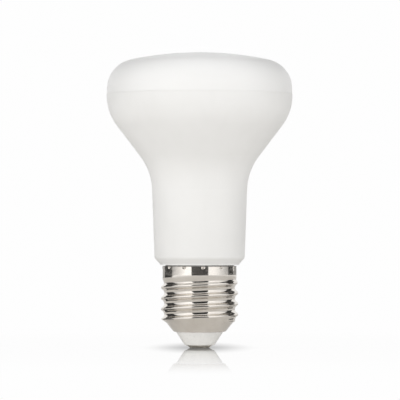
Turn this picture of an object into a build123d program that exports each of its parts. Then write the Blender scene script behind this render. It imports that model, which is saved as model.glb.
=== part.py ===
from build123d import *
import os
from math import atan, atan2, ceil, cos, degrees, radians, sqrt, tan

# Reflector bulb with an E27 screw cap, in millimetres. Z is the axis of the bulb, the origin is the
# middle of the contact's end face, and the front of the bulb points up. The bulb is sealed and opaque,
# so its housing and diffuser are filled solids.

# Centre contact
contact_height = 0.8  # end face to the insulator
contact_diameter = 8.8
contact_face_diameter = 6.4
contact_edge_radius = 0.3
stem_diameter = 3.2
stem_length = 4.5

# Insulator
insulator_height = 4.55  # its end to the lower rim of the shell
insulator_diameter = 16.0  # under the rim of the shell
insulator_end_diameter = 10.0
insulator_edge_radius = 1.0
insulator_plug_height = 4.0  # the part inside the shell, above the shell's lower rim

# Screw shell of sheet metal
shell_wall = 0.3
shell_height = 22.3  # lower rim to upper rim
rim_diameter = 17.46
rim_hole_diameter = 14.6
rim_radius = 1.0
taper_diameter = 22.4  # upper end of the plain taper
taper_height = 3.05
fade_angle = 56.0  # cone that ends the thread above the taper, in degrees from the axis
collar_diameter = 25.2
collar_height = 3.75
run_out_height = 2.5  # over which the thread goes over into the collar

# Thread of the screw shell: crest arcs that go over into wider root arcs, in bands between closed rings
thread_pitch = 3.629
thread_major_diameter = 26.2
thread_minor_diameter = 24.06
thread_crest_radius = 0.7
thread_phase = 0.64  # height of a crest at +X above the lower rim, in turns
thread_bands = 12  # up each pitch
thread_points = 24  # around each ring

# Stakes, punched in at the upper rim of the shell
stake_count = 12
stake_radius = 0.6
stake_depth = 0.35
stake_drop = 0.5  # middle of a stake below the upper rim
stake_phase = 5.6  # degrees from +X

# Housing
rim_gap = 0.35  # upper rim of the shell to the housing's underside
rim_gap_depth = 1.0  # how far the gap goes in behind the collar's face
housing_height = 58.0  # underside to seam
bulb_diameter = 63.0
rim_band_height = 0.5  # straight side under the seam
shoulder_radius = 17.0
cone_angle = 37.2  # reflector cone, in degrees from the axis
throat_radius = 19.7
neck_diameter = 30.6  # at its lower end
neck_draft = 2.0  # degrees, widening upwards
skirt_diameter = 27.0  # at the underside
skirt_lip_height = 0.4
skirt_lip_radius = 0.2
skirt_height = 2.4  # underside to the lower end of the neck
skirt_radius = 1.5

# Diffuser
diffuser_step = 0.12  # the housing stands proud of the diffuser by this much
diffuser_band_height = 1.8  # straight side above the seam
front_corner_radius = 9.9
crown_radius = 114.0
plug_inset = 2.4  # side of the diffuser to its plug
plug_depth = 3.0
seam_edge_radius = 0.12

# Fits
fit_clearance = 0.1

# Heights, from the contact's end face upwards
insulator_z = contact_height
rim_z = insulator_z + insulator_height
taper_z = rim_z + taper_height
plug_top_z = rim_z + insulator_plug_height
shell_top_z = rim_z + shell_height
collar_z = shell_top_z - collar_height
thread_top_z = collar_z - run_out_height
crest_z = rim_z + thread_phase * thread_pitch
housing_z = shell_top_z + rim_gap
seam_z = housing_z + housing_height

# Radii
rim_outer_radius = rim_diameter / 2
rim_hole_radius = rim_hole_diameter / 2
taper_radius = taper_diameter / 2
taper_angle = atan((taper_radius - rim_outer_radius) / taper_height)
taper_inner_radius = taper_radius - shell_wall / cos(taper_angle)
major_radius = thread_major_diameter / 2
minor_radius = thread_minor_diameter / 2
collar_radius = collar_diameter / 2
stem_radius = stem_diameter / 2
bulb_radius = bulb_diameter / 2
diffuser_radius = bulb_radius - diffuser_step
plug_radius = diffuser_radius - plug_inset


def turned(*corners):
    """Solid turned about Z, from outline corners given as radius, height and rounding."""
    points = [(radius, height) for radius, height, _ in corners]
    roundings = [rounding for _, _, rounding in corners]
    outline = FilletPolyline(*points, radius=roundings, close=True)
    return revolve(Plane.XZ * make_face(outline), Axis.Z)


def cap_core(inset, low, high):
    """The cap without its thread, filled and moved inwards by the inset, between two heights."""
    fade_z = taper_z + (minor_radius - taper_radius) / tan(radians(fade_angle))
    side = [
        (rim_outer_radius, rim_z),
        (taper_radius, taper_z),
        (minor_radius, fade_z),
        (minor_radius, thread_top_z),
        (collar_radius, collar_z),
        (collar_radius, high + shell_height),
    ]
    other_side = [(-radius, height) for radius, height in reversed(side)]
    sharp = [0] * (len(side) - 1)
    roundings = [rim_radius] + sharp + sharp + [rim_radius]
    outline = make_face(FilletPolyline(*side, *other_side, radius=roundings, close=True))
    section = offset(outline, -inset, kind=Kind.INTERSECTION)
    half = Pos(collar_radius / 2, (low + high) / 2) * Rectangle(collar_radius, high - low)
    return revolve(Plane.XZ * (section & half), Axis.Z)


def thread_radius(rise, inset):
    """Radius of the rolled thread at a rise above a crest, moved inwards by the inset."""
    half_pitch = thread_pitch / 2
    depth = major_radius - minor_radius
    both_arcs = (half_pitch**2 + depth**2) / (2 * depth)
    crest_arc = thread_crest_radius - inset
    root_arc = both_arcs - crest_arc
    off_crest = abs((rise + half_pitch) % thread_pitch - half_pitch)
    if off_crest < half_pitch * crest_arc / both_arcs:
        return major_radius - inset - crest_arc + sqrt(crest_arc**2 - off_crest**2)
    return minor_radius - inset + root_arc - sqrt(root_arc**2 - (half_pitch - off_crest) ** 2)


def thread_ring(height, inset):
    """Closed curve around the threaded sheet at a height, moved inwards by the inset."""
    fade = radians(fade_angle)
    fade_radius = taper_radius + (height - taper_z) * tan(fade) - inset / cos(fade)
    run_out = max(height - thread_top_z, 0) / run_out_height
    points = []
    for step in range(thread_points):
        turn = step / thread_points
        radius = min(fade_radius, thread_radius(height - crest_z - turn * thread_pitch, inset))
        radius += run_out * (collar_radius - inset - radius)
        points.append(Vector(radius, 0, height).rotate(Axis.Z, 360 * turn))
    return Edge.make_spline(points, periodic=True, parameters=range(thread_points + 1))


def round_ring(radius, height):
    return Edge.make_circle(radius, Plane((0, 0, height)))


def make_threaded_sheet():
    """The sheet from the taper to the collar: bands up its outside and down its inside."""
    count = ceil((collar_z - taper_z) * thread_bands / thread_pitch)
    rise = (collar_z - taper_z) / count
    heights = [taper_z + rise * band for band in range(1, count)]
    rings = [round_ring(taper_radius, taper_z)]
    rings += [thread_ring(height, 0) for height in heights]
    rings += [round_ring(collar_radius, collar_z), round_ring(collar_radius - shell_wall, collar_z)]
    rings += [thread_ring(height, shell_wall) for height in reversed(heights)]
    rings += [round_ring(taper_inner_radius, taper_z)]
    following = rings[1:] + rings[:1]
    return Solid(Shell([Face.make_surface_from_curves(*pair) for pair in zip(rings, following)]))


def make_taper():
    """The sheet from the hole in its lower rim to the upper end of the taper."""
    floor_z = rim_z + shell_wall
    floor_radius = taper_inner_radius - (taper_z - floor_z) * tan(taper_angle)
    return turned(
        (rim_hole_radius, rim_z, 0),
        (rim_outer_radius, rim_z, rim_radius),
        (taper_radius, taper_z, 0),
        (taper_inner_radius, taper_z, 0),
        (floor_radius, floor_z, rim_radius - shell_wall),
        (rim_hole_radius, floor_z, 0),
    )


def stakes(radius):
    """Balls at the places of the stakes, all round the upper rim of the shell."""
    middle = collar_radius - stake_depth + stake_radius
    height = shell_top_z - stake_drop
    places = PolarLocations(middle, stake_count, start_angle=stake_phase)
    return Pos(0, 0, height) * places * Sphere(radius)


def collar_core(inset):
    """The collar, filled, with the stakes pressed into it, moved inwards by the inset."""
    height = Pos(0, 0, collar_z + collar_height / 2)
    return height * Cylinder(collar_radius - inset, collar_height) - stakes(stake_radius + inset)


def make_screw_shell():
    collar = collar_core(0) - collar_core(shell_wall)
    return make_taper() + make_threaded_sheet() + collar


def make_centre_contact():
    face_radius = contact_face_diameter / 2
    flange_radius = contact_diameter / 2
    stem_top = contact_height + stem_length
    return turned(
        (0, 0, 0),
        (face_radius, 0, contact_edge_radius),
        (flange_radius, contact_height, 0),
        (stem_radius, contact_height, 0),
        (stem_radius, stem_top, 0),
        (0, stem_top, 0),
    )


def make_cap_insulator():
    cone = turned(
        (0, insulator_z, 0),
        (insulator_end_diameter / 2, insulator_z, insulator_edge_radius),
        (insulator_diameter / 2, rim_z, 0),
        (0, rim_z, 0),
    )
    inset = shell_wall + fit_clearance
    plug = cap_core(inset, rim_z, plug_top_z)
    waist_height = inset + fit_clearance
    waist = Pos(0, 0, rim_z + waist_height / 2) * Cylinder(rim_hole_radius - fit_clearance, waist_height)
    hole_depth = stem_length + fit_clearance
    hole = Pos(0, 0, insulator_z + hole_depth / 2) * Cylinder(stem_radius + fit_clearance, hole_depth)
    return cone + plug + waist - hole


def make_housing():
    neck_z = housing_z + skirt_height
    neck_radius = neck_diameter / 2
    skirt_outer_radius = skirt_diameter / 2
    neck_slope = tan(radians(neck_draft))
    cone_slope = tan(radians(cone_angle))
    shoulder_z = seam_z - rim_band_height - shoulder_radius * tan(radians(cone_angle / 2))

    # The throat is where the line of the neck meets the line of the cone.
    widening = bulb_radius - neck_radius + neck_slope * neck_z - cone_slope * shoulder_z
    throat_z = widening / (neck_slope - cone_slope)
    throat_r = neck_radius + neck_slope * (throat_z - neck_z)

    recess_radius = plug_radius + fit_clearance
    recess_z = seam_z - plug_depth - fit_clearance
    body = turned(
        (0, housing_z, 0),
        (skirt_outer_radius, housing_z, skirt_lip_radius),
        (skirt_outer_radius, housing_z + skirt_lip_height, 0),
        (neck_radius, neck_z, skirt_radius),
        (throat_r, throat_z, throat_radius),
        (bulb_radius, shoulder_z, shoulder_radius),
        (bulb_radius, seam_z, seam_edge_radius),
        (recess_radius, seam_z, 0),
        (recess_radius, recess_z, 0),
        (0, recess_z, 0),
    )
    inset = shell_wall + fit_clearance
    spigot = cap_core(inset, plug_top_z + fit_clearance, shell_top_z) - stakes(stake_radius + inset)
    gap_middle = Pos(0, 0, shell_top_z + rim_gap / 2)
    gap_core = gap_middle * Cylinder(collar_radius - rim_gap_depth, rim_gap)
    return body + spigot + gap_core


def make_diffuser():
    # The crown and the corner are arcs that touch on the line between their centres.
    corner_r = diffuser_radius - front_corner_radius
    corner_z = seam_z + diffuser_band_height
    crown_z = corner_z - sqrt((crown_radius - front_corner_radius) ** 2 - corner_r**2)
    turn = degrees(atan2(corner_z - crown_z, corner_r))
    top_z = crown_z + crown_radius
    plug_z = seam_z - plug_depth
    lower_side = FilletPolyline(
        (0, plug_z),
        (plug_radius, plug_z),
        (plug_radius, seam_z),
        (diffuser_radius, seam_z),
        (diffuser_radius, corner_z),
        radius=[0, 0, seam_edge_radius],
    )
    corner = CenterArc((corner_r, corner_z), front_corner_radius, 0, turn)
    crown = CenterArc((0, crown_z), crown_radius, turn, 90 - turn)
    axis = Line((0, top_z), (0, plug_z))
    return revolve(Plane.XZ * make_face([lower_side, corner, crown, axis]), Axis.Z)


nodes = {
    "diffuser": make_diffuser(),
    "housing": make_housing(),
    "screw_shell": make_screw_shell(),
    "cap_insulator": make_cap_insulator(),
    "centre_contact": make_centre_contact(),
}
os.makedirs("parts", exist_ok=True)
for name, solid in nodes.items():
    export_step(solid, f"parts/{name}.step")
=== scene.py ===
"""Looks of the reflector bulb: its finishes, the smooth rolled thread of its cap, and a plain studio."""
from math import atan2, ceil, cos, pi, radians, sin, sqrt, tan

import bpy
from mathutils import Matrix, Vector


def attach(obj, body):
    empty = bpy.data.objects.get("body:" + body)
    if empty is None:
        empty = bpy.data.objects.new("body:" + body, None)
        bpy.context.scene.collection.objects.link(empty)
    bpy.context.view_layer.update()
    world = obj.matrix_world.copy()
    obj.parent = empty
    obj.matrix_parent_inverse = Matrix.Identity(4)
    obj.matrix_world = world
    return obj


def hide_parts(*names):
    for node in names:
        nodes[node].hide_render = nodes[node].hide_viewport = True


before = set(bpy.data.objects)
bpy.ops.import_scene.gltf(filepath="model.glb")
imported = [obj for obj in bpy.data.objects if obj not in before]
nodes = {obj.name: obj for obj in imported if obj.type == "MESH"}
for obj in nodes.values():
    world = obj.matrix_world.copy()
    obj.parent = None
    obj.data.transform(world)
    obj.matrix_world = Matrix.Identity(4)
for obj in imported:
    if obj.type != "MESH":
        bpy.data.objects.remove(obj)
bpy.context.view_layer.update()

# The screw shell's sizes are those of the part's source, in millimetres. The studio's are in metres.
MM = 0.001

# Rim and taper of the screw shell
rim_z = 5.35
rim_outer_radius = 8.73
rim_hole_radius = 7.3
rim_radius = 1.0
shell_wall = 0.3
taper_z = 8.4
taper_radius = 11.2
taper_tilt = atan2(taper_z - rim_z, taper_radius - rim_outer_radius)  # from the level
fade_angle = radians(56)  # cone that ends the thread above the taper, from the axis
fade_blend = 0.12  # rounding where the thread runs out

# Thread
thread_pitch = 3.629
thread_phase = 0.64  # height of a crest at +X above the lower rim, in turns
major_radius = 13.1
minor_radius = 12.03
crest_radius = 0.7
crest_z = rim_z + thread_phase * thread_pitch
run_out_height = 2.5  # over which the thread goes over into the collar

# Collar and its stakes
collar_z = 23.9
shell_top_z = 27.65
collar_radius = 12.6
collar_edge = 0.05
stake_count = 12
stake_radius = 0.6
stake_depth = 0.35
stake_drop = 0.5  # middle of a stake below the upper rim
stake_z = shell_top_z - stake_drop
stake_phase = radians(5.6)
stake_blend = 0.06  # rounding at the lip of a stake

# Fineness of the screw shell's mesh
columns = 360
outer_rows_per_pitch = 20
inner_rows_per_pitch = 8
arc_rows = 8
taper_rows = 4
collar_rows = 3
stake_rows = 14
sharp_angle = radians(50)  # edges that turn by more than this are not shaded smooth


def soft_min(a, b, blend):
    """The smaller of two values, with the change from one to the other rounded."""
    near = max(blend - abs(a - b), 0) / blend
    return min(a, b) - near * near * blend / 4


def thread_radius(rise, inset):
    """Radius of the rolled thread at a rise above a crest, moved inwards by the inset."""
    half_pitch = thread_pitch / 2
    depth = major_radius - minor_radius
    both_arcs = (half_pitch**2 + depth**2) / (2 * depth)
    crest_arc = crest_radius - inset
    root_arc = both_arcs - crest_arc
    off_crest = abs((rise + half_pitch) % thread_pitch - half_pitch)
    if off_crest < half_pitch * crest_arc / both_arcs:
        return major_radius - inset - crest_arc + sqrt(crest_arc**2 - off_crest**2)
    return minor_radius - inset + root_arc - sqrt(root_arc**2 - (half_pitch - off_crest) ** 2)


def threaded(angle, height, inset):
    """Radius of the threaded sheet, which runs out on a cone above the taper and into the collar."""
    turn = angle / (2 * pi)
    rise = height - crest_z - turn * thread_pitch
    fade_radius = taper_radius + (height - taper_z) * tan(fade_angle) - inset / cos(fade_angle)
    radius = soft_min(fade_radius, thread_radius(rise, inset), fade_blend)
    run_out = max(height - collar_z + run_out_height, 0) / run_out_height
    return radius + run_out * (collar_radius - inset - radius)


def staked(angle, height, inset):
    """Radius of the collar, with the stakes pressed into it."""
    step = 2 * pi / stake_count
    off = (angle - stake_phase + step / 2) % step - step / 2
    middle = collar_radius - stake_depth + stake_radius
    reach = (stake_radius + inset) ** 2 - (height - stake_z) ** 2 - (middle * sin(off)) ** 2
    plain = collar_radius - inset
    if reach <= 0:
        return plain
    return soft_min(plain, middle * cos(off) - sqrt(reach), stake_blend)


def spaced(low, high, count):
    """Evenly spaced values, without the first and with the last."""
    return [low + (high - low) * (step + 1) / count for step in range(count)]


def level(radius, height):
    """A row of the mesh that is a circle."""
    return [(radius, height)] * columns


def round_row(radius_at, height, inset):
    """A row of the mesh at one height, with the radius at each angle."""
    return [(radius_at(2 * pi * column / columns, height, inset), height) for column in range(columns)]


def thread_heights(per_pitch):
    """Heights of the rows on the thread, up to the collar."""
    count = ceil((collar_z - taper_z) * per_pitch / thread_pitch)
    return spaced(taper_z, collar_z, count)


def outer_rows():
    """Rows up the outside of the screw shell, from the hole in its lower rim to its upper rim."""
    tangent = rim_radius * tan(taper_tilt / 2)
    arc_start = rim_outer_radius - tangent
    rows = [level(rim_hole_radius, rim_z), level(arc_start, rim_z)]
    for turn in spaced(0, taper_tilt, arc_rows):
        radius = arc_start + rim_radius * sin(turn)
        rows.append(level(radius, rim_z + rim_radius * (1 - cos(turn))))
    arc_end_radius, arc_end_z = rows[-1][0]
    for share in spaced(0, 1, taper_rows):
        radius = arc_end_radius + (taper_radius - arc_end_radius) * share
        rows.append(level(radius, arc_end_z + (taper_z - arc_end_z) * share))
    rows += [round_row(threaded, height, 0) for height in thread_heights(outer_rows_per_pitch)]
    stake_low = stake_z - stake_radius
    rows += [level(collar_radius, height) for height in spaced(collar_z, stake_low, collar_rows)]
    top = shell_top_z - collar_edge
    rows += [round_row(staked, height, 0) for height in spaced(stake_low, top, stake_rows)]
    return rows


def inner_rows():
    """Rows down the inside of the screw shell, from its upper rim to the hole in its lower rim."""
    upper = round_row(staked, shell_top_z, 0)
    rows = [[(radius - collar_edge, height) for radius, height in upper]]
    heights = spaced(stake_z - stake_radius - shell_wall, shell_top_z, stake_rows)
    rows += [round_row(staked, height, shell_wall) for height in reversed(heights)]
    heights = thread_heights(inner_rows_per_pitch)
    rows += [round_row(threaded, height, shell_wall) for height in reversed(heights)]
    inner_radius = taper_radius - shell_wall / sin(taper_tilt)
    rows.append(level(inner_radius, taper_z))
    floor_z = rim_z + shell_wall
    floor_radius = inner_radius - (taper_z - floor_z) / tan(taper_tilt)
    tangent = (rim_radius - shell_wall) * tan(taper_tilt / 2)
    rows.append(level(floor_radius + tangent * cos(taper_tilt), floor_z + tangent * sin(taper_tilt)))
    rows.append(level(floor_radius - tangent, floor_z))
    rows.append(level(rim_hole_radius, floor_z))
    return rows


def add_object(name, data):
    """A new object in the scene."""
    obj = bpy.data.objects.new(name, data)
    bpy.context.scene.collection.objects.link(obj)
    return obj


def add_mesh(name, points, faces):
    """A new object in the scene, with a mesh."""
    mesh = bpy.data.meshes.new(name)
    mesh.from_pydata(points, [], faces)
    return add_object(name, mesh)


def make_shell():
    """The screw shell as one closed mesh, row by row round the axis."""
    rows = outer_rows() + inner_rows()
    points = []
    for row in rows:
        for column, (radius, height) in enumerate(row):
            angle = 2 * pi * column / columns
            points.append((radius * cos(angle) * MM, radius * sin(angle) * MM, height * MM))
    faces = []
    for row in range(len(rows)):
        low = row * columns
        high = (row + 1) % len(rows) * columns
        for column in range(columns):
            following = (column + 1) % columns
            faces.append((low + column, low + following, high + following, high + column))
    shell = add_mesh("rolled_shell", points, faces)
    shell.data.shade_smooth()
    shell.data.set_sharp_from_angle(angle=sharp_angle)
    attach(shell, "root")
    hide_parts("screw_shell")
    return shell


def set_inputs(node, **values):
    """Sets inputs of a node by their names, in which an underscore stands for a space."""
    for name, value in values.items():
        node.inputs[name.replace("_", " ")].default_value = value


class Graph:
    """The nodes of a material, a lamp or the world."""

    def __init__(self, owner):
        owner.use_nodes = True
        self.tree = owner.node_tree

    def add(self, kind, **values):
        """A new node, with some of its inputs set."""
        node = self.tree.nodes.new("ShaderNode" + kind)
        set_inputs(node, **values)
        return node

    def join(self, source, target):
        """A link from an output to an input."""
        self.tree.links.new(source, target)

    def maths(self, operation, first, second):
        """What an operation makes of two values, of which the second may be a number."""
        node = self.add("Math")
        node.operation = operation
        self.join(first, node.inputs[0])
        if isinstance(second, float):
            node.inputs[1].default_value = second
        else:
            self.join(second, node.inputs[1])
        return node.outputs[0]

    def ramp(self, value, start, end, low=0, high=1, smooth=False):
        """A value between start and end, taken to between low and high."""
        node = self.add("MapRange", From_Min=start, From_Max=end, To_Min=low, To_Max=high)
        if smooth:
            node.interpolation_type = "SMOOTHSTEP"
        self.join(value, node.inputs["Value"])
        return node.outputs["Result"]

    def either(self, factor, first, second):
        """The first shader where the factor is 0, and the second one where it is 1."""
        node = self.add("MixShader")
        self.join(factor, node.inputs[0])
        self.join(first.outputs[0], node.inputs[1])
        self.join(second.outputs[0], node.inputs[2])
        return node


# Values between which most of a noise lies
noise_low = 0.35
noise_high = 0.65

# Sockets of a mix node that belong to colours
mix_first = 6
mix_second = 7
mix_result = 2


class Surface(Graph):
    """A material with one principled shader, and textures in millimetres of the object's own space."""

    def __init__(self, name):
        self.material = bpy.data.materials.new(name)
        super().__init__(self.material)
        self.shader = self.tree.nodes["Principled BSDF"]
        self.normal = None

    def noise(self, size, detail=3, stretch=(1, 1, 1)):
        """Noise with features of about a size in millimetres, drawn out along each axis."""
        place = self.add("TexCoord")
        mapping = self.add("Mapping", Scale=[1 / (MM * size * value) for value in stretch])
        texture = self.add("TexNoise", Scale=1, Detail=detail)
        self.join(place.outputs["Object"], mapping.inputs["Vector"])
        self.join(mapping.outputs["Vector"], texture.inputs["Vector"])
        return texture.outputs["Fac"]

    def height(self):
        """Height above the end of the cap, in metres."""
        place = self.add("TexCoord")
        parts = self.add("SeparateXYZ")
        self.join(place.outputs["Object"], parts.inputs["Vector"])
        return parts.outputs["Z"]

    def blend(self, factor, first, second):
        """A colour between two colours, of which the first may be a blend itself."""
        node = self.add("Mix")
        node.data_type = "RGBA"
        self.join(factor, node.inputs["Factor"])
        if isinstance(first, tuple):
            node.inputs[mix_first].default_value = (*first, 1)
        else:
            self.join(first, node.inputs[mix_first])
        node.inputs[mix_second].default_value = (*second, 1)
        return node.outputs[mix_result]

    def clouds(self, tints, size, detail=4):
        """A colour that drifts between two tints."""
        return self.blend(self.ramp(self.noise(size, detail), noise_low, noise_high), *tints)

    def marks(self, tint, colour, share, start, end, **noise):
        """A tint with marks, which begin where a noise passes start and are full where it passes end."""
        return self.blend(self.ramp(self.noise(**noise), start, end, 0, share), tint, colour)

    def colour(self, value):
        """Sets the base colour."""
        self.join(value, self.shader.inputs["Base Color"])

    def roughness(self, low, high, **noise):
        """Roughness that wanders from low to high."""
        value = self.ramp(self.noise(**noise), noise_low, noise_high, low, high)
        self.join(value, self.shader.inputs["Roughness"])

    def bump(self, depth, strength, **noise):
        """A bump with a depth in millimetres, over the bump before it."""
        node = self.add("Bump", Strength=strength, Distance=depth * MM)
        self.join(self.noise(**noise), node.inputs["Height"])
        if self.normal is not None:
            self.join(self.normal, node.inputs["Normal"])
        self.normal = node.outputs["Normal"]
        self.join(self.normal, self.shader.inputs["Normal"])

    def clear_in_mirrors(self):
        """Lets rays through that come from a perfect mirror, such as the floor."""
        rays = self.add("LightPath")
        whole = self.either(rays.outputs["Is Singular Ray"], self.shader, self.add("BsdfTransparent"))
        self.join(whole.outputs[0], self.tree.nodes["Material Output"].inputs["Surface"])


# Finishes: the two tints between which each one drifts, and the colours of marks on them
housing_tints = ((0.845, 0.842, 0.828), (0.875, 0.872, 0.86))
housing_flow = (0.83, 0.828, 0.81)
diffuser_tints = ((0.885, 0.883, 0.874), (0.9, 0.898, 0.89))
nickel_tints = ((0.72, 0.678, 0.625), (0.77, 0.733, 0.684))
# Painted shade: a dark band along the shell's upper rim, where it meets the housing
nickel_rim_shade = (0.16, 0.14, 0.12)
nickel_rim_shade_height = 0.25  # millimetres, of painted shade at the upper rim, where it meets the housing
insulator_tints = ((0.838, 0.836, 0.818), (0.858, 0.856, 0.838))
insulator_specks = (0.808, 0.804, 0.782)
contact_tints = ((0.48, 0.46, 0.42), (0.66, 0.64, 0.59))


def housing_material():
    """Matt white moulding with a fine grain and faint streaks along the axis."""
    surface = Surface("fine_matt_white")
    tint = surface.clouds(housing_tints, size=26)
    streaked = surface.marks(
        tint, housing_flow, share=0.5, start=0.5, end=0.8, size=5, detail=5, stretch=(1, 1, 6)
    )
    surface.colour(streaked)
    surface.roughness(low=0.42, high=0.52, size=2.2, detail=4)
    surface.bump(depth=0.004, strength=0.6, size=0.32)
    surface.bump(depth=0.02, strength=0.35, size=9, detail=2)
    set_inputs(surface.shader, Specular_IOR_Level=0.45)
    return surface.material


def diffuser_material():
    """Satin opal plastic, smoother than the housing."""
    surface = Surface("satin_opal")
    surface.colour(surface.clouds(diffuser_tints, size=18))
    surface.roughness(low=0.38, high=0.44, size=7, detail=1)
    surface.bump(depth=0.002, strength=0.4, size=0.5)
    set_inputs(surface.shader, Specular_IOR_Level=0.3, Coat_Weight=0.05, Coat_Roughness=0.25)
    return surface.material


def nickel_material():
    """Bright nickel plate with marks of rolling round the axis, and painted shade along the upper rim,
    where it meets the housing.
    """
    surface = Surface("bright_nickel")
    tint = surface.clouds(nickel_tints, size=4)
    # Painted shade: the colour goes dark over the top of the upper rim, where it meets the housing
    rim_shade_start_z = shell_top_z - nickel_rim_shade_height
    edge = surface.ramp(surface.height(), rim_shade_start_z * MM, shell_top_z * MM)
    surface.colour(surface.blend(edge, tint, nickel_rim_shade))
    surface.roughness(low=0.05, high=0.11, size=0.8, detail=5, stretch=(3, 3, 1))
    surface.bump(depth=0.001, strength=0.5, size=0.05, stretch=(60, 60, 1))
    surface.bump(depth=0.006, strength=0.4, size=1.3)
    set_inputs(surface.shader, Metallic=1)
    return surface.material


def insulator_material():
    """Smooth pale moulding with faint specks."""
    surface = Surface("smooth_pale")
    tint = surface.clouds(insulator_tints, size=3)
    surface.colour(surface.marks(tint, insulator_specks, share=0.4, start=0.62, end=0.8, size=0.5))
    surface.roughness(low=0.26, high=0.4, size=0.9, detail=4)
    surface.bump(depth=0.004, strength=0.5, size=0.4)
    return surface.material


def contact_material():
    """Dull tinned metal, brushed along one axis."""
    surface = Surface("dull_tinned")
    surface.colour(surface.clouds(contact_tints, size=1.2, detail=5))
    surface.roughness(low=0.3, high=0.5, size=0.4, detail=4, stretch=(1, 6, 1))
    surface.bump(depth=0.004, strength=0.7, size=0.25, stretch=(1, 8, 1))
    set_inputs(surface.shader, Metallic=1)
    return surface.material


def dress(obj, material):
    """Gives an object one material."""
    obj.data.materials.clear()
    obj.data.materials.append(material)


dress(nodes["housing"], housing_material())
dress(nodes["cap_insulator"], insulator_material())
dress(nodes["centre_contact"], contact_material())
dress(nodes["diffuser"], diffuser_material())
dress(make_shell(), nickel_material())

# Floor: pale and polished, and white to the camera but for the bulb's mirror image and painted shade and
# shadow under it
floor_half_width = 4.0
floor_colour = (0.95, 0.932, 0.905, 1)
floor_ior = 1.45
floor_even = 0.95  # share of what isn't mirrored that doesn't follow the lamps
corner_reach = 0.016  # metres, of the painted shade, from ambient occlusion, in the corner under the bulb
corner_dark = 0.92  # light left where all of the sky is covered
painted_shadow_reach = (0.020, 0.066)  # metres across and in depth, where the painted soft shadow under the bulb ends
painted_shadow_dark = 0.54  # light left in the middle of the painted shadow
floor_fade = (0.04, 0.22)  # metres from the bulb, between which the floor goes over to plain white
mirror_fade = (0.15, 0.7)  # the same, as the bulb's reflections show it
white = 0.99  # brightness of the plain floor and of the background


def floor_material():
    """The polished floor to the camera, with painted shade and a painted shadow under the bulb, a matt
    one to other rays, and plain white further off.
    """
    material = bpy.data.materials.new("pale_floor")
    graph = Graph(material)
    graph.tree.nodes.clear()

    def fade(start, end, low=0, reach=(1, 1)):
        """From low to 1 between two distances from the bulb, measured in reaches across and in depth."""
        place = graph.add("TexCoord")
        measured = graph.add("VectorMath")
        measured.operation = "DIVIDE"
        measured.inputs[1].default_value = (*reach, 1)
        away = graph.add("VectorMath")
        away.operation = "LENGTH"
        graph.join(place.outputs["Object"], measured.inputs[0])
        graph.join(measured.outputs[0], away.inputs[0])
        return graph.ramp(away.outputs["Value"], start, end, low, smooth=True)

    # Painted shade: ambient occlusion darkens the floor's white and its mirror image in the corner under
    # the bulb
    corner = graph.add("AmbientOcclusion", Distance=corner_reach)
    shade = graph.ramp(corner.outputs["AO"], 0, 1, corner_dark, white, smooth=True)
    # Painted shadow: a soft pool, long in depth, darkens the floor and its mirror image under the bulb
    shadow = graph.maths("MULTIPLY", shade, fade(0, 1, painted_shadow_dark, painted_shadow_reach))
    matt = graph.add("BsdfDiffuse", Color=floor_colour)
    even = graph.add("Emission")
    gloss = graph.add("BsdfGlossy", Roughness=0)
    graph.join(shadow, even.inputs["Strength"])
    graph.join(shadow, gloss.inputs["Color"])

    rays = graph.add("LightPath").outputs
    camera = rays["Is Camera Ray"]
    glance = graph.add("Fresnel", IOR=floor_ior).outputs[0]
    pale = graph.either(graph.maths("MULTIPLY", camera, floor_even), matt, even)
    near = graph.either(graph.maths("MULTIPLY", camera, glance), pale, gloss)

    seen = graph.maths("MULTIPLY", camera, fade(*floor_fade))
    mirrored = graph.maths("MAXIMUM", rays["Is Glossy Ray"], rays["Is Transmission Ray"])
    mirrored = graph.maths("MULTIPLY", mirrored, fade(*mirror_fade))
    blank = graph.add("Emission", Strength=white)
    whole = graph.either(graph.maths("MAXIMUM", seen, mirrored), near, blank)
    graph.join(whole.outputs[0], graph.add("OutputMaterial").inputs["Surface"])
    return material


def make_floor():
    """A square floor under the bulb."""
    side = floor_half_width
    corners = [(-side, -side, 0), (side, -side, 0), (side, side, 0), (-side, side, 0)]
    floor = add_mesh("floor", corners, [range(len(corners))])
    dress(floor, floor_material())


# World: white to the camera and in reflections, and a dimmer light all round
ambient = 0.26


def make_world():
    """White where it is seen, and dim where it lights."""
    world = bpy.data.worlds.new("studio")
    bpy.context.scene.world = world
    graph = Graph(world)
    graph.tree.nodes.clear()
    rays = graph.add("LightPath").outputs
    shown = rays["Is Camera Ray"]
    for name in ("Is Glossy Ray", "Is Transmission Ray"):
        shown = graph.maths("MAXIMUM", shown, rays[name])
    dim = graph.add("Background", Color=(1, 1, 1, 1), Strength=ambient)
    bright = graph.add("Background", Color=(1, 1, 1, 1), Strength=white)
    whole = graph.either(shown, dim, bright)
    graph.join(whole.outputs[0], graph.add("OutputWorld").inputs["Surface"])


def at_azimuth(degrees_right, distance, height):
    """A point round the bulb, at an angle to the right of the camera's side."""
    angle = radians(degrees_right)
    return Vector((sin(angle) * distance, -cos(angle) * distance, height))


def facing(obj, target):
    """Turns a lamp or the camera towards a point."""
    obj.rotation_mode = "QUATERNION"
    obj.rotation_quaternion = (target - obj.location).to_track_quat("-Z", "Y")


# Softboxes: inner and outer edge in degrees to the right of the camera, and the strength at each
softbox_distance = 0.9
softbox_height = 1.15
softbox_even_share = 0.28  # of the width, from the inner edge, before the light falls off
softbox_lift = (0.12, 0.55)  # shares of the height, between which the outer edge gets brighter
softbox_lift_share = 0.8  # of the fall-off that is made good at the top
softboxes = {
    "left": (-25, -94, 1.35, 0.33),
    "right": (27, 100, 1.2, 0.23),
}


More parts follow.
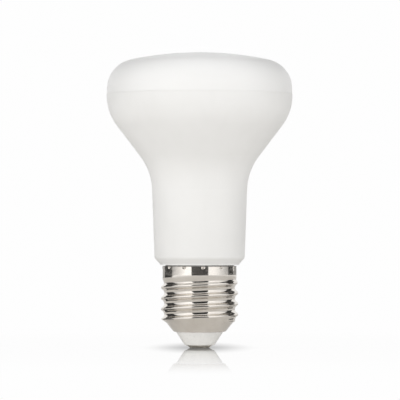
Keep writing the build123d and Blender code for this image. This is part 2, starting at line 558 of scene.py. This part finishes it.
def make_softbox(name, inner, outer, bright, dim):
    """A tall lamp beside the camera, which falls off towards its outer edge, and less so at its top."""
    lamp = bpy.data.lights.new(name, "AREA")
    lamp.shape = "RECTANGLE"
    lamp.size = 2 * softbox_distance * tan(radians(abs(outer - inner)) / 2)
    lamp.size_y = softbox_height
    lamp.energy = pi * lamp.size * lamp.size_y
    graph = Graph(lamp)
    place = graph.add("NewGeometry")
    parts = graph.add("SeparateXYZ")
    graph.join(place.outputs["Parametric"], parts.inputs[0])
    start = softbox_even_share
    end = 1
    if inner < 0:
        start = 1 - start
        end = 1 - end
    fall = graph.ramp(parts.outputs["X"], start, end, bright, dim)
    lift = graph.ramp(parts.outputs["Y"], *softbox_lift, 0, softbox_lift_share)
    lifted = graph.add("Mix", B=bright)
    graph.join(lift, lifted.inputs["Factor"])
    graph.join(fall, lifted.inputs["A"])
    graph.join(lifted.outputs["Result"], graph.tree.nodes["Emission"].inputs["Strength"])
    softbox = add_object(name, lamp)
    softbox.location = at_azimuth((inner + outer) / 2, softbox_distance, softbox_height / 2)
    facing(softbox, Vector((0, 0, softbox_height / 2)))
    softbox.visible_camera = False


# Soft lamps over the camera, behind and above: place, size, strength, and whether reflections show them
soft_lamps = {
    "fill": (at_azimuth(-8, 1.5, 0.32), 0.6, 5.05, False),
    "back": (at_azimuth(180, 1.5, 0.5), 1.0, 2.0, False),
    "top": (at_azimuth(0, 0, 1.6), 1.2, 0.5, True),
}
lamp_aim = Vector((0, 0, 0.05))


def make_lamp(name, place, size, strength, shows):
    """A square lamp turned to the bulb."""
    data = bpy.data.lights.new(name, "AREA")
    data.shape = "SQUARE"
    data.size = size
    data.energy = strength * pi * size**2
    lamp = add_object(name, data)
    lamp.location = place
    facing(lamp, lamp_aim)
    lamp.visible_camera = False
    lamp.visible_glossy = shows


def make_dark(name, corners, tone):
    """One face of a grey tone that only the bulb's reflections show."""
    surface = Surface(name)
    set_inputs(surface.shader, Base_Color=(tone, tone, tone, 1), Specular_IOR_Level=0)
    surface.clear_in_mirrors()
    dark = add_mesh(name, corners, [range(len(corners))])
    dress(dark, surface.material)
    for ray in ("camera", "diffuse", "transmission", "shadow"):
        setattr(dark, "visible_" + ray, False)


# Dark and grey flags before the camera, and behind and beside the softboxes, with make_flag's values
flags = {
    "front": (-25, 27, 0.5, 0, 0.2, 0.13),
    "front_top": (-25, 27, 0.5, 0.2, 0.8, 0.05),
    "left_back": (-96, -22, 1.1, 0, 1.5, 0.09),
    "right_back": (24, 102, 1.1, 0, 1.5, 0.09),
    "left": (-138, -95, 1.0, 0, 5.0, 0.07),
    "left_end": (-160, -136, 0.9, 0, 0.05, 0.6),
    "left_end_top": (-172, -136, 0.9, 0.42, 1.3, 0.1),
    "right": (100, 128, 1.0, 0, 5.0, 0.07),
    "right_end": (126, 160, 0.9, 0, 0.05, 0.5),
    "right_end_top": (126, 172, 0.9, 0.42, 1.3, 0.1),
}


def make_flag(name, start, end, distance, low, high, tone):
    """An upright face from start to end, in degrees to the right of the camera, and from low to high."""
    middle = at_azimuth((start + end) / 2, distance, low)
    half = tan(radians(end - start) / 2) * distance
    along = Vector((-middle.y, middle.x, 0)).normalized() * half
    up = Vector((0, 0, high - low))
    make_dark(name, [middle - along, middle + along, middle + along + up, middle - along + up], tone)


# Dark strips on the floor beside the bulb, which draw the lines under the thread's crests: their corners
strips = {
    "left": [(-0.0165, -0.008), (-0.026, -0.008), (-0.040, 0.030), (-0.0205, 0.024)],
    "right": [(0.0225, 0.004), (0.031, 0.002), (0.040, 0.030), (0.0235, 0.024)],
}
strip_height = 0.0004  # over the floor
strip_tone = 0.09


def make_strip(name, places):
    """A dark face that lies on the floor."""
    make_dark(name, [(x, y, strip_height) for x, y in places], strip_tone)


# Camera
camera_distance = 1.15
camera_height = 0.040
camera_aim = Vector((0.00014, 0, 0.050))
frame_width = 0.13556  # at the bulb's axis
sensor_width = 36  # millimetres


def make_camera():
    """The camera, a little below the middle of the bulb and aimed at it."""
    data = bpy.data.cameras.new("camera")
    data.sensor_width = sensor_width
    data.lens = sensor_width * camera_distance / frame_width
    camera = add_object("camera", data)
    camera.location = (camera_aim.x, -camera_distance, camera_height)
    facing(camera, camera_aim)
    bpy.context.scene.camera = camera


make_floor()
make_world()
for name, values in softboxes.items():
    make_softbox("softbox_" + name, *values)
for name, values in soft_lamps.items():
    make_lamp("lamp_" + name, *values)
for name, values in flags.items():
    make_flag("flag_" + name, *values)
for name, places in strips.items():
    make_strip("strip_" + name, places)
make_camera()
bpy.context.scene.view_settings.view_transform = "Standard"
